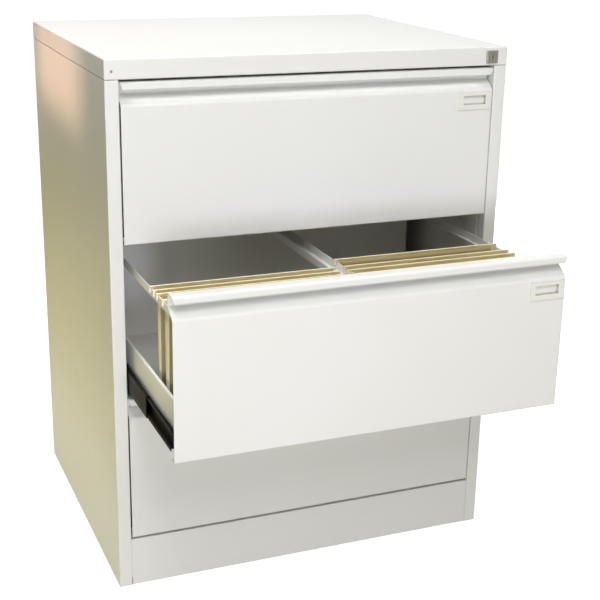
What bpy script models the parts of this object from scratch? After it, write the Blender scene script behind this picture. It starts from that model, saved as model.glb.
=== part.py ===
"""A free-standing steel cabinet with three wide drawers for suspension files hung in two rows.

Sizes are in metres, +Z is up, +X is to the right of someone who faces the drawers, and +Y goes to the back.
The middle drawer stands open with a few files in it. The origin is on the floor, in the middle of the plan
that the cabinet and its open drawer cover.
"""

from math import acos, cos, pi, radians, sin, tan

import bmesh
import bpy
from mathutils import Matrix, Vector

MM = 0.001

# The closed cabinet
CABINET_WIDTH = 775 * MM
CABINET_DEPTH = 630 * MM
CABINET_HEIGHT = 1000 * MM

# Sheet steel, its folds, and the clearances between pieces
SHEET = 1.0 * MM
FOLD_RADIUS = 2.0 * MM
FOLD_STEPS = 3
SEAT_GAP = 0.3 * MM
RUN_GAP = 0.4 * MM
ROD_SIDES = 24
EDGE_STEPS = 2
SHARP_ANGLE = radians(40)
FLAT_ANGLE = radians(1)
WELD_DISTANCE = 0.001 * MM

# Carcass
STILE_WIDTH = 25 * MM
STILE_RETURN = 22 * MM
REAR_FLANGE = 20 * MM
COVER_HEIGHT = 35 * MM
COVER_RETURN = 18 * MM
COVER_HOLE_RADIUS = 2.5 * MM
COVER_HOLE_INSET = 12.5 * MM
COVER_HOLE_DROP = 20.5 * MM
PLINTH_HEIGHT = 97 * MM
PLINTH_SHELF = 45 * MM
PLINTH_FOOT = 25 * MM
PLINTH_SEAM = 0.6 * MM
BASE_SETBACK = 1 * MM
BASE_FLANGE = 25 * MM
BACK_FLANGE = 15 * MM
UPRIGHT_SHEET = 1.5 * MM
UPRIGHT_WIDTH = 40 * MM
UPRIGHT_FOOT = 11 * MM

# Drawer fronts, folded from one sheet with a grip lip along the top
FRONT_GAP = 4 * MM
FRONT_SIDE_GAP = 2 * MM
FRONT_FLANGE = 19 * MM
LIP_HEIGHT = 14.5 * MM
LIP_DEPTH = 23 * MM
LIP_HEM = 6 * MM
LIP_TOP_RADIUS = 3.5 * MM
LIP_BOTTOM_RADIUS = 2.0 * MM
LIP_MITRE = 4 * MM
RECESS_DEPTH = 25 * MM
RECESS_DROP = 22 * MM
RECESS_RADIUS = 5 * MM
SHOULDER_DROP = 39 * MM
SHOULDER_RADIUS = 8 * MM

# Drawer bodies
DRAWER_DEPTH = 579 * MM
TRAY_FLOOR_RISE = 9.5 * MM
TRAY_SIDE_TOP = 96 * MM
TRAY_FLANGE = 5.5 * MM
TRAY_HEM = 6 * MM
BACK_INSET = 6.5 * MM
BACK_RETURN = 12 * MM
LINER_ABOVE_RAIL = 4 * MM
LINER_HEM = 6 * MM
REST_PULL = 290 * MM

# File rails
RAIL_SHEET = 1.5 * MM
RAIL_HEIGHT = 16 * MM
RAIL_FLANGE = 6.5 * MM
RAIL_INSET = 4 * MM
RAIL_BELOW_SHOULDER = 1 * MM
CENTRE_RAIL_WIDTH = 28 * MM

# Label holders
LABEL_WIDTH = 69 * MM
LABEL_HEIGHT = 33 * MM
LABEL_THICKNESS = 2.4 * MM
LABEL_SIDE_INSET = 2.5 * MM
LABEL_DROP = 5 * MM
WINDOW_WIDTH = 47 * MM
WINDOW_HEIGHT = 16.5 * MM
WINDOW_FROM_RIGHT = 12 * MM
WINDOW_FROM_TOP = 7 * MM
WINDOW_LIP = 0.9 * MM
WINDOW_UNDERCUT = 0.5 * MM
TUB_WALL = 1.2 * MM
TUB_FLOOR = 1.0 * MM
TUB_BACK = 4.3 * MM
LABEL_EDGE = 0.7 * MM

# Telescopic slides
SLIDE_LENGTH = 550 * MM
SLIDE_SETBACK = 25 * MM
SLIDE_HEIGHT = 45 * MM
SLIDE_THICKNESS = 12.4 * MM
SLIDE_SHEET = 1.2 * MM
SLIDE_MOUTH = 2.0 * MM
SLIDE_LIP = 2.2 * MM
SLIDE_CORNER = 1.6 * MM
SLIDE_TRACK = 7.5 * MM
SLIDE_RISE = 30.5 * MM

# Central lock
LOCK_INSET = 33 * MM
LOCK_DROP = 18.7 * MM
LOCK_PLATE_WIDTH = 24 * MM
LOCK_PLATE_HEIGHT = 23.5 * MM
LOCK_PLATE_THICKNESS = 3 * MM
LOCK_PLATE_EDGE = 0.8 * MM
LOCK_BODY_RADIUS = 9.5 * MM
LOCK_BODY_LENGTH = 15 * MM
CYLINDER_RADIUS = 7.5 * MM
CYLINDER_PROUD = 0.6 * MM
KEYWAY_WIDTH = 1.8 * MM
KEYWAY_HEIGHT = 8 * MM
KEYWAY_DEPTH = 8 * MM
TAIL_RADIUS = 3.5 * MM
CAM_THICKNESS = 2 * MM
CAM_HUB_RADIUS = 6.5 * MM
CAM_TIP_RADIUS = 3.6 * MM
CAM_THROW = 12 * MM
CAM_PIN_RADIUS = 2 * MM
LOCK_TURN = radians(90)
BAR_WIDTH = 14 * MM
BAR_THICKNESS = 2 * MM
BAR_SETBACK = 4 * MM
BAR_HEAD_WALL = 2 * MM
BAR_FOOT = 6 * MM
BAR_ROOM = 2 * MM
PIN_CLEARANCE = 0.5 * MM
FINGER_HEIGHT = 7 * MM
FINGER_DROP = 20 * MM
FINGER_CLEARANCE = 2 * MM
CATCH_GAP = 1 * MM
CATCH_ROOM = 3 * MM
CATCH_REACH = 8.5 * MM
CATCH_LENGTH = 15 * MM
CATCH_HEIGHT = 26 * MM
CATCH_SHEET = 1.2 * MM
STUD_RADIUS = 3 * MM
STUD_HEAD_RADIUS = 5 * MM
STUD_HEAD_THICKNESS = 1.5 * MM

# Suspension files, each a folded card on two hanger bars, placed by its bars' distances behind the front
CARD_THICKNESS = 0.8 * MM
CARD_END_CLEARANCE = 7.5 * MM
CARD_FLOOR_GAP = 5 * MM
CARD_FOLD_WIDTH = 12 * MM
CARD_FOLD_RADIUS = 4 * MM
HANGER_THICKNESS = 3.2 * MM
HANGER_HEIGHT = 12.5 * MM
HANGER_ABOVE_RAIL = 4.5 * MM
HANGER_END_GAP = 1 * MM
HOOK_GAP = 0.8 * MM
HOOK_WIDTH = 3 * MM
HOOK_DROP = 6 * MM
HOOK_CHAMFER = 1.5 * MM
FILE_BARS = {
    "left_front": (98 * MM, 131 * MM),
    "left_rear": (150 * MM, 173 * MM),
    "right_front": (127 * MM, 151 * MM),
    "right_rear": (174 * MM, 218 * MM),
}

# Levels and widths that follow from the sizes above
HALF_WIDTH = CABINET_WIDTH / 2
INNER_HALF = HALF_WIDTH - SHEET
OPENING_HALF = HALF_WIDTH - STILE_WIDTH
OPENING_TOP = CABINET_HEIGHT - COVER_HEIGHT
FRONT_HALF = OPENING_HALF - FRONT_SIDE_GAP
SLIDE_FACE = OPENING_HALF - SEAT_GAP
TRAY_HALF = SLIDE_FACE - SLIDE_THICKNESS - SEAT_GAP
BACK_FACE = CABINET_DEPTH - SHEET - SEAT_GAP
DRAWER_NAMES = ("bottom", "middle", "top")
OPEN_DRAWER = "middle"
HANDS = {"left": -1, "right": 1}
DRAWER_COUNT = len(DRAWER_NAMES)
FRONT_HEIGHT = (OPENING_TOP - PLINTH_HEIGHT - (DRAWER_COUNT + 1) * FRONT_GAP) / DRAWER_COUNT
DRAWER_PITCH = FRONT_HEIGHT + FRONT_GAP
DRAWER_BOTTOMS = [PLINTH_HEIGHT + FRONT_GAP + index * DRAWER_PITCH for index in range(DRAWER_COUNT)]
SHOULDER = FRONT_HEIGHT - SHOULDER_DROP
RAIL_TOP = SHOULDER - RAIL_BELOW_SHOULDER
LINER_TOP = RAIL_TOP + LINER_ABOVE_RAIL
TRAY_FRONT = FRONT_FLANGE + SEAT_GAP
DRAWER_BACK_FACE = DRAWER_DEPTH - SHEET
TRAY_BACK = DRAWER_BACK_FACE - SEAT_GAP
FLOOR_TOP = TRAY_FLOOR_RISE + SHEET
ROW_OUTER = TRAY_HALF - RAIL_INSET - RAIL_SHEET
ROW_INNER = CENTRE_RAIL_WIDTH / 2
LOCK_X = HALF_WIDTH - LOCK_INSET
LOCK_Z = CABINET_HEIGHT - LOCK_DROP
CAM_FRONT = LOCK_BODY_LENGTH + SEAT_GAP
BAR_FRONT = STILE_RETURN + BAR_SETBACK
BAR_BACK = BAR_FRONT + BAR_THICKNESS
BAR_CENTRE = HALF_WIDTH - STILE_WIDTH / 2
CAM_LIFT = 2 * CAM_THROW * sin(LOCK_TURN / 2)
FINGER_RISE = TRAY_SIDE_TOP - FINGER_DROP
CATCH_BOTTOM = FINGER_RISE + FINGER_HEIGHT + CATCH_ROOM
UPRIGHT_FRONT = BAR_BACK + SEAT_GAP
LABEL_FRONT = LABEL_THICKNESS + SEAT_GAP
PLAN_CENTRE = (CABINET_DEPTH - REST_PULL - LABEL_FRONT) / 2

PLANES = {
    "XY": (Vector((1, 0, 0)), Vector((0, 1, 0)), Vector((0, 0, 1))),
    "XZ": (Vector((1, 0, 0)), Vector((0, 0, 1)), Vector((0, 1, 0))),
    "YZ": (Vector((0, 1, 0)), Vector((0, 0, 1)), Vector((1, 0, 0))),
}


def clear_scene():
    """Remove whatever the scene holds."""
    for item in list(bpy.data.objects):
        bpy.data.objects.remove(item)


def new_collection(name):
    """A collection linked to the scene."""
    collection = bpy.data.collections.new(name)
    bpy.context.scene.collection.children.link(collection)
    return collection


def new_finish(name, colour, roughness, metallic):
    """A plain surface finish."""
    material = bpy.data.materials.new(name)
    material.use_nodes = True
    shader = material.node_tree.nodes["Principled BSDF"]
    shader.inputs["Base Color"].default_value = (*colour, 1)
    shader.inputs["Roughness"].default_value = roughness
    shader.inputs["Metallic"].default_value = metallic
    material.diffuse_color = (*colour, 1)
    return material


clear_scene()
PARTS = new_collection("suspension_file_cabinet")
TOOLS = new_collection("cutters")
PAINT = new_finish("off_white_paint", (0.78, 0.77, 0.71), 0.35, 0.0)
BLACK_STEEL = new_finish("black_slide_steel", (0.03, 0.03, 0.03), 0.4, 0.8)
ZINC = new_finish("zinc_steel", (0.45, 0.45, 0.44), 0.35, 1.0)
LOCK_GREY = new_finish("lock_grey_metal", (0.16, 0.16, 0.16), 0.35, 0.9)
CREAM_PLASTIC = new_finish("cream_plastic", (0.76, 0.75, 0.68), 0.4, 0.0)
MANILA = new_finish("manila_card", (0.72, 0.56, 0.27), 0.8, 0.0)


def empty(name, place, parent=None):
    """A frame that pieces hang on."""
    frame = bpy.data.objects.new(name, None)
    frame.location = place
    frame.parent = parent
    PARTS.objects.link(frame)
    return frame


def add_piece(name, mesh, finish, parent):
    """A sub-part of the cabinet."""
    piece = bpy.data.objects.new(name, mesh)
    mesh.materials.clear()
    mesh.materials.append(finish)
    piece.parent = parent
    PARTS.objects.link(piece)
    return piece


def shape_with(piece, operation, mesh, solver="EXACT"):
    """Cut a mesh from a piece, or join it on, with a hidden tool in the same frame."""
    tool = bpy.data.objects.new(f"{piece.name}_{operation.lower()}", mesh)
    tool.parent = piece.parent
    tool.hide_render = True
    tool.display_type = "WIRE"
    TOOLS.objects.link(tool)
    modifier = piece.modifiers.new(tool.name, "BOOLEAN")
    modifier.operation = operation
    modifier.solver = solver
    modifier.object = tool


def to_mesh(shape, name):
    """Turn a bmesh into mesh data."""
    mesh = bpy.data.meshes.new(name)
    shape.to_mesh(mesh)
    shape.free()
    return mesh


def between(low, high):
    """The matrix that puts a unit cube between two corners."""
    return Matrix.Translation((low + high) / 2) @ Matrix.Diagonal((*(high - low), 1))


def block(low, high):
    """A box between two corners."""
    shape = bmesh.new()
    bmesh.ops.create_cube(shape, size=1, matrix=between(Vector(low), Vector(high)))
    return to_mesh(shape, "block")


def rod(radius, front, back, x=0.0, z=0.0):
    """A round bar along Y."""
    shape = bmesh.new()
    place = Matrix.Translation((x, (front + back) / 2, z)) @ Matrix.Rotation(pi / 2, 4, "X")
    ends = {"radius1": radius, "radius2": radius, "depth": back - front, "cap_ends": True}
    bmesh.ops.create_cone(shape, segments=ROD_SIDES, matrix=place, **ends)
    return to_mesh(shape, "rod")


def arc(centre_x, centre_z, radius, start, end, steps):
    """Points along an arc, both ends included."""
    angles = [start + (end - start) * step / steps for step in range(steps + 1)]
    return [(centre_x + radius * cos(angle), centre_z + radius * sin(angle)) for angle in angles]


def rectangle(left, bottom, right, top):
    """The four corners of an upright rectangle."""
    return [(left, bottom), (right, bottom), (right, top), (left, top)]


def plate(outlines, front, back):
    """A flat plate between two depths, cut to an (x, z) outline with any holes after it."""
    curve = bpy.data.curves.new("outline", "CURVE")
    curve.dimensions = "2D"
    curve.fill_mode = "BOTH"
    curve.extrude = (back - front) / 2
    for outline in outlines:
        spline = curve.splines.new("POLY")
        spline.points.add(len(outline) - 1)
        spline.use_cyclic_u = True
        for point, (x, z) in zip(spline.points, outline):
            point.co = (x, z, 0, 1)
    drawing = bpy.data.objects.new("outline", curve)
    TOOLS.objects.link(drawing)
    flat = bpy.data.meshes.new_from_object(drawing.evaluated_get(bpy.context.evaluated_depsgraph_get()))
    bpy.data.objects.remove(drawing)
    shape = bmesh.new()
    shape.from_mesh(flat)
    bmesh.ops.remove_doubles(shape, verts=shape.verts, dist=WELD_DISTANCE)
    bmesh.ops.dissolve_limit(shape, angle_limit=FLAT_ANGLE, verts=shape.verts, edges=shape.edges)
    stand_up = Matrix.Translation((0, (front + back) / 2, 0)) @ Matrix.Rotation(pi / 2, 4, "X")
    bmesh.ops.transform(shape, matrix=stand_up, verts=shape.verts)
    bmesh.ops.recalc_face_normals(shape, faces=shape.faces)
    return to_mesh(shape, "plate")


def rounded_path(corners):
    """Points of an open path through (a, b, radius) corners, with each corner rounded by an arc."""
    path = []
    for index, (a, b, radius) in enumerate(corners):
        corner = Vector((a, b))
        if radius == 0 or index in (0, len(corners) - 1):
            path.append(corner)
            continue
        to_last = (Vector(corners[index - 1][:2]) - corner).normalized()
        to_next = (Vector(corners[index + 1][:2]) - corner).normalized()
        half_angle = to_last.angle(to_next) / 2
        centre = corner + (to_last + to_next).normalized() * radius / sin(half_angle)
        first = (corner + to_last * radius / tan(half_angle) - centre).normalized()
        last = (corner + to_next * radius / tan(half_angle) - centre).normalized()
        path += [centre + first.slerp(last, step / FOLD_STEPS) * radius for step in range(FOLD_STEPS + 1)]
    return path


def folded_sheet(name, corners, plane, start, end, thickness, finish, parent):
    """A sheet folded along a path and drawn out straight, with its metal to the right of the path."""
    across, up, along = PLANES[plane]
    path = rounded_path(corners)
    shape = bmesh.new()
    points = [shape.verts.new(across * a + up * b + along * start) for a, b in path]
    edges = [shape.edges.new(pair) for pair in zip(points, points[1:])]
    drawn = bmesh.ops.extrude_edge_only(shape, edges=edges)["geom"]
    far_points = [item for item in drawn if isinstance(item, bmesh.types.BMVert)]
    bmesh.ops.translate(shape, verts=far_points, vec=along * (end - start))
    bmesh.ops.recalc_face_normals(shape, faces=shape.faces)
    first_step = path[1] - path[0]
    left_of_path = up * first_step.x - across * first_step.y
    if points[0].link_faces[0].normal.dot(left_of_path) < 0:
        bmesh.ops.reverse_faces(shape, faces=shape.faces)
    piece = add_piece(name, to_mesh(shape, name), finish, parent)
    add_thickness(piece, thickness)
    return piece


def add_thickness(piece, thickness):
    """Give an open surface a wall on its inner side."""
    wall = piece.modifiers.new("Sheet", "SOLIDIFY")
    wall.thickness = thickness
    wall.offset = -1
    wall.use_even_offset = True


def round_edges(piece, width, steps):
    """Round a piece's sharp edges."""
    bevel = piece.modifiers.new("Edges", "BEVEL")
    bevel.width = width
    bevel.segments = steps
    bevel.limit_method = "ANGLE"
    bevel.angle_limit = SHARP_ANGLE


def on_side(corners, side):
    """Corners drawn for the left side, turned over for the right side."""
    if side < 0:
        return corners
    return [(-a, b, radius) for a, b, radius in reversed(corners)]


def side_panel(name, side, cabinet):
    """A side folded round the front stile and the rear edge."""
    corners = [
        (-OPENING_HALF, STILE_RETURN, 0),
        (-OPENING_HALF, 0, FOLD_RADIUS),
        (-HALF_WIDTH, 0, FOLD_RADIUS),
        (-HALF_WIDTH, CABINET_DEPTH, FOLD_RADIUS),
        (-HALF_WIDTH + REAR_FLANGE, CABINET_DEPTH, 0),
    ]
    return folded_sheet(name, on_side(corners, side), "XY", 0, OPENING_TOP, SHEET, PAINT, cabinet)


def back_panel(cabinet):
    """The back, inside the rear flanges of the sides, with its top and bottom edges turned in."""
    top = OPENING_TOP - SEAT_GAP
    corners = [
        (BACK_FACE - BACK_FLANGE, top, 0),
        (BACK_FACE, top, FOLD_RADIUS),
        (BACK_FACE, 0, FOLD_RADIUS),
        (BACK_FACE - BACK_FLANGE, 0, 0),
    ]
    half = INNER_HALF - FOLD_RADIUS
    folded_sheet("back_panel", corners, "YZ", -half, half, SHEET, PAINT, cabinet)


def base_panel(cabinet):
    """The floor of the carcass, under the shelf of the plinth, with its side edges turned down."""
    half = INNER_HALF - SEAT_GAP
    top = PLINTH_HEIGHT - SHEET - SEAT_GAP
    corners = [
        (-half, top - BASE_FLANGE, 0),
        (-half, top, FOLD_RADIUS),
        (half, top, FOLD_RADIUS),
        (half, top - BASE_FLANGE, 0),
    ]
    front = STILE_RETURN + BASE_SETBACK
    back = BACK_FACE - SHEET - SEAT_GAP
    folded_sheet("base_panel", corners, "XZ", front, back, SHEET, PAINT, cabinet)


def plinth_front(cabinet):
    """The plinth between the stiles, with a foot that rests on the floor and a shelf over the base panel."""
    corners = [
        (PLINTH_FOOT, 0, 0),
        (0, 0, FOLD_RADIUS),
        (0, PLINTH_HEIGHT, FOLD_RADIUS),
        (PLINTH_SHELF, PLINTH_HEIGHT, 0),
    ]
    half = OPENING_HALF - PLINTH_SEAM
    folded_sheet("plinth_front", corners, "YZ", -half, half, SHEET, PAINT, cabinet)


def top_cover(cabinet):
    """The lid: a pan with a skirt, whose lower edge is turned in over the tops of the sides."""
    bottom = OPENING_TOP + SEAT_GAP
    low = Vector((-HALF_WIDTH, 0, bottom))
    high = Vector((HALF_WIDTH, CABINET_DEPTH, CABINET_HEIGHT))
    middle = (low + high) / 2
    shape = bmesh.new()
    bmesh.ops.create_cube(shape, size=1, matrix=between(low, high))
    underside = min(shape.faces, key=lambda face: face.calc_center_median().z)
    bmesh.ops.delete(shape, geom=[underside], context="FACES_ONLY")
    rim = [edge for edge in shape.edges if edge.is_boundary]
    drawn = bmesh.ops.extrude_edge_only(shape, edges=rim)["geom"]
    for vertex in [item for item in drawn if isinstance(item, bmesh.types.BMVert)]:
        vertex.co.x += COVER_RETURN if vertex.co.x < middle.x else -COVER_RETURN
        vertex.co.y += COVER_RETURN if vertex.co.y < middle.y else -COVER_RETURN
    bmesh.ops.recalc_face_normals(shape, faces=shape.faces)
    upward = max(shape.faces, key=lambda face: face.calc_center_median().z)
    if upward.normal.z < 0:
        bmesh.ops.reverse_faces(shape, faces=shape.faces)
    cover = add_piece("top_cover", to_mesh(shape, "top_cover"), PAINT, cabinet)
    round_edges(cover, FOLD_RADIUS, FOLD_STEPS)
    add_thickness(cover, SHEET)
    through = SHEET + SEAT_GAP
    shape_with(cover, "DIFFERENCE", rod(LOCK_BODY_RADIUS + SEAT_GAP, -through, 2 * through, LOCK_X, LOCK_Z))
    hole_x = COVER_HOLE_INSET - HALF_WIDTH
    hole_z = CABINET_HEIGHT - COVER_HOLE_DROP
    shape_with(cover, "DIFFERENCE", rod(COVER_HOLE_RADIUS, -through, 2 * through, hole_x, hole_z))
    notch_low = (BAR_CENTRE - BAR_WIDTH / 2 - BAR_ROOM, BAR_FRONT - BAR_ROOM, bottom - through)
    notch_high = (BAR_CENTRE + BAR_WIDTH / 2 + BAR_ROOM, BAR_BACK + BAR_ROOM, bottom + 2 * through)
    shape_with(cover, "DIFFERENCE", block(notch_low, notch_high))


def upright(name, side, front, cabinet):
    """A hat-shaped upright on the side panel, whose web carries the slides."""
    foot_face = INNER_HALF - SEAT_GAP - UPRIGHT_SHEET
    corners = [
        (-foot_face, front + UPRIGHT_WIDTH + UPRIGHT_FOOT, 0),
        (-foot_face, front + UPRIGHT_WIDTH, 0),
        (-OPENING_HALF, front + UPRIGHT_WIDTH, FOLD_RADIUS),
        (-OPENING_HALF, front, FOLD_RADIUS),
        (-foot_face, front, 0),
        (-foot_face, front - UPRIGHT_FOOT, 0),
    ]
    foot = PLINTH_HEIGHT - SHEET
    return folded_sheet(name, on_side(corners, side), "XY", foot, OPENING_TOP, UPRIGHT_SHEET, PAINT, cabinet)


def guide_studs(post):
    """Headed studs on the right front upright, on which the locking bar slides."""
    head_back = BAR_FRONT - SEAT_GAP
    head_front = head_back - STUD_HEAD_THICKNESS
    shank_front = (head_front + head_back) / 2
    shank_back = UPRIGHT_FRONT + UPRIGHT_SHEET / 2
    for height in stud_heights():
        shape_with(post, "UNION", rod(STUD_RADIUS, shank_front, shank_back, BAR_CENTRE, height))
        shape_with(post, "UNION", rod(STUD_HEAD_RADIUS, head_front, head_back, BAR_CENTRE, height))


def stud_heights():
    """Heights of the guide studs, half way between the fingers of the locking bar."""
    return [bottom + FINGER_RISE + DRAWER_PITCH / 2 for bottom in DRAWER_BOTTOMS[:-1]]


def lock_housing(cabinet):
    """The square face plate and round body of the lock, bored for the cylinder."""
    plate_back = -SEAT_GAP
    plate_front = plate_back - LOCK_PLATE_THICKNESS
    low = (LOCK_X - LOCK_PLATE_WIDTH / 2, plate_front, LOCK_Z - LOCK_PLATE_HEIGHT / 2)
    high = (LOCK_X + LOCK_PLATE_WIDTH / 2, plate_back, LOCK_Z + LOCK_PLATE_HEIGHT / 2)
    housing = add_piece("lock_housing", block(low, high), LOCK_GREY, cabinet)
    round_edges(housing, LOCK_PLATE_EDGE, EDGE_STEPS)
    body = rod(LOCK_BODY_RADIUS, plate_front / 2, LOCK_BODY_LENGTH, LOCK_X, LOCK_Z)
    shape_with(housing, "UNION", body)
    clear = CYLINDER_RADIUS + RUN_GAP
    bore = rod(clear, plate_front - LOCK_PLATE_THICKNESS, 2 * LOCK_BODY_LENGTH, LOCK_X, LOCK_Z)
    shape_with(housing, "DIFFERENCE", bore)


def lock_cylinder(turning):
    """The plug that the key turns, with its keyway in front and the tail that carries the cam."""
    face = -SEAT_GAP - LOCK_PLATE_THICKNESS - CYLINDER_PROUD
    plug = add_piece("lock_cylinder", rod(CYLINDER_RADIUS, face, LOCK_BODY_LENGTH), ZINC, turning)
    tail = rod(TAIL_RADIUS, LOCK_BODY_LENGTH / 2, CAM_FRONT + CAM_THICKNESS + SEAT_GAP)
    shape_with(plug, "UNION", tail)
    low = (-KEYWAY_WIDTH / 2, face - KEYWAY_DEPTH, -KEYWAY_HEIGHT / 2)
    high = (KEYWAY_WIDTH / 2, face + KEYWAY_DEPTH, KEYWAY_HEIGHT / 2)
    shape_with(plug, "DIFFERENCE", block(low, high))


def lock_cam(turning):
    """The crank plate on the cylinder's tail, with the pin that lifts the locking bar."""
    lean = -LOCK_TURN / 2
    flank = acos((CAM_HUB_RADIUS - CAM_TIP_RADIUS) / CAM_THROW)
    pin_x = CAM_THROW * cos(lean)
    pin_z = CAM_THROW * sin(lean)
    tip = arc(pin_x, pin_z, CAM_TIP_RADIUS, lean - flank, lean + flank, ROD_SIDES // 2)
    hub = arc(0, 0, CAM_HUB_RADIUS, lean + flank, lean + 2 * pi - flank, ROD_SIDES // 2)
    hole = arc(0, 0, TAIL_RADIUS + SEAT_GAP, 0, 2 * pi, ROD_SIDES)[:-1]
    crank = plate([tip + hub, hole], CAM_FRONT, CAM_FRONT + CAM_THICKNESS)
    cam = add_piece("lock_cam", crank, ZINC, turning)
    pin = rod(CAM_PIN_RADIUS, CAM_FRONT + CAM_THICKNESS / 2, BAR_BACK + SEAT_GAP, pin_x, pin_z)
    shape_with(cam, "UNION", pin)


def locking_bar(lifting):
    """The bar behind the right stile, with a slotted head for the cam pin and a finger for each drawer."""
    left = BAR_CENTRE - BAR_WIDTH / 2
    right = BAR_CENTRE + BAR_WIDTH / 2
    pin_room = CAM_PIN_RADIUS + PIN_CLEARANCE
    slot_left = LOCK_X + CAM_THROW * cos(LOCK_TURN / 2) - pin_room
    slot_right = LOCK_X + CAM_THROW + pin_room
    slot_z = LOCK_Z - CAM_LIFT / 2
    head_left = slot_left - BAR_HEAD_WALL
    head_low = slot_z - pin_room - BAR_HEAD_WALL
    head_high = slot_z + pin_room + BAR_HEAD_WALL
    finger_tip = TRAY_HALF + FINGER_CLEARANCE
    outline = [(right, head_high), (head_left, head_high), (head_left, head_low), (left, head_low)]
    for bottom in reversed(DRAWER_BOTTOMS):
        low = bottom + FINGER_RISE
        high = low + FINGER_HEIGHT
        outline += [(left, high), (finger_tip, high), (finger_tip, low), (left, low)]
    foot = DRAWER_BOTTOMS[0] + FINGER_RISE - BAR_FOOT
    outline += [(left, foot), (right, foot)]
    holes = [rectangle(slot_left, slot_z - pin_room, slot_right, slot_z + pin_room)]
    stud_room = STUD_RADIUS + PIN_CLEARANCE
    for height in stud_heights():
        low = height - stud_room - CAM_LIFT
        holes.append(rectangle(BAR_CENTRE - stud_room, low, BAR_CENTRE + stud_room, height + stud_room))
    add_piece("locking_bar", plate([outline] + holes, BAR_FRONT, BAR_BACK), ZINC, lifting)


def drawer_front(name, drawer):
    """The front, folded from one sheet: foot flange, face, leaning shoulder, grip recess and rolled lip."""
    top = FRONT_HEIGHT - SHEET
    lip_bottom = FRONT_HEIGHT - LIP_HEIGHT
    corners = [
        (FRONT_FLANGE, 0, 0),
        (0, 0, FOLD_RADIUS),
        (0, SHOULDER, SHOULDER_RADIUS),
        (RECESS_DEPTH, FRONT_HEIGHT - RECESS_DROP, RECESS_RADIUS),
        (LIP_DEPTH, top, FOLD_RADIUS),
        (SHEET, top, LIP_TOP_RADIUS),
        (SHEET, lip_bottom + SHEET, LIP_BOTTOM_RADIUS),
        (SHEET + LIP_HEM, lip_bottom + SHEET, 0),
    ]
    front = folded_sheet(name, corners, "YZ", -FRONT_HALF, FRONT_HALF, SHEET, PAINT, drawer)
    for side in (-1, 1):
        outside = side * (FRONT_HALF + LIP_MITRE)
        mitre = [
            (side * (FRONT_HALF - LIP_MITRE), lip_bottom - SHEET),
            (outside, lip_bottom - SHEET),
            (outside, FRONT_HEIGHT + LIP_HEIGHT),
        ]
        shape_with(front, "DIFFERENCE", plate([mitre], -LIP_HEM, 2 * SHEET + LIP_HEM))
    cut_out = WINDOW_UNDERCUT + TUB_WALL + SEAT_GAP
    shape_with(front, "DIFFERENCE", label_block(cut_out, -SHEET, 2 * SHEET))


def front_liner(name, drawer):
    """The inner skin of the front, standing on its foot flange, to which the tray and rails are fixed."""
    face = FRONT_FLANGE - SHEET
    corners = [
        (face, SHEET + SEAT_GAP, 0),
        (face, LINER_TOP, FOLD_RADIUS),
        (face + SHEET + LINER_HEM, LINER_TOP, 0),
    ]
    folded_sheet(name, corners, "YZ", -TRAY_HALF, TRAY_HALF, SHEET, PAINT, drawer)


def drawer_tray(name, drawer):
    """The floor and low sides, with turned-in top edges and a catch for the locking bar on the right."""
    rim = TRAY_HALF - TRAY_FLANGE
    corners = [
        (rim, TRAY_SIDE_TOP - TRAY_HEM, 0),
        (rim, TRAY_SIDE_TOP, FOLD_RADIUS),
        (TRAY_HALF, TRAY_SIDE_TOP, FOLD_RADIUS),
        (TRAY_HALF, TRAY_FLOOR_RISE, FOLD_RADIUS),
        (-TRAY_HALF, TRAY_FLOOR_RISE, FOLD_RADIUS),
        (-TRAY_HALF, TRAY_SIDE_TOP, FOLD_RADIUS),
        (-rim, TRAY_SIDE_TOP, FOLD_RADIUS),
        (-rim, TRAY_SIDE_TOP - TRAY_HEM, 0),
    ]
    tray = folded_sheet(name, corners, "XZ", TRAY_FRONT, TRAY_BACK, SHEET, PAINT, drawer)
    catch_front = BAR_BACK + CATCH_GAP
    foot_low = (TRAY_HALF - SHEET / 2, catch_front + CATCH_SHEET / 2, CATCH_BOTTOM)
    foot_high = (TRAY_HALF + CATCH_SHEET, catch_front + CATCH_LENGTH, TRAY_SIDE_TOP - FOLD_RADIUS)
    shape_with(tray, "UNION", block(foot_low, foot_high))
    tab_low = (TRAY_HALF + CATCH_SHEET / 2, catch_front, CATCH_BOTTOM)
    tab_high = (TRAY_HALF + CATCH_REACH, catch_front + CATCH_SHEET, CATCH_BOTTOM + CATCH_HEIGHT)
    shape_with(tray, "UNION", block(tab_low, tab_high))


def drawer_back(name, drawer):
    """The back of the drawer, as tall as the front's inner skin, which carries the rails' rear ends."""
    half = TRAY_HALF - BACK_INSET
    corners = [
        (half, DRAWER_BACK_FACE + BACK_RETURN, 0),
        (half, DRAWER_BACK_FACE, FOLD_RADIUS),
        (-half, DRAWER_BACK_FACE, FOLD_RADIUS),
        (-half, DRAWER_BACK_FACE + BACK_RETURN, 0),
    ]
    folded_sheet(name, corners, "XY", TRAY_FLOOR_RISE, LINER_TOP, SHEET, PAINT, drawer)


def side_rail(name, side, drawer):
    """An angle rail along one side, whose upright edge the files hang on."""
    low = RAIL_TOP - RAIL_HEIGHT
    outer = ROW_OUTER + RAIL_SHEET
    corners = [
        (-outer + RAIL_FLANGE, low, 0),
        (-outer, low, FOLD_RADIUS),
        (-outer, RAIL_TOP, 0),
    ]
    folded_sheet(name, on_side(corners, side), "XZ", TRAY_FRONT, TRAY_BACK, RAIL_SHEET, PAINT, drawer)


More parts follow.
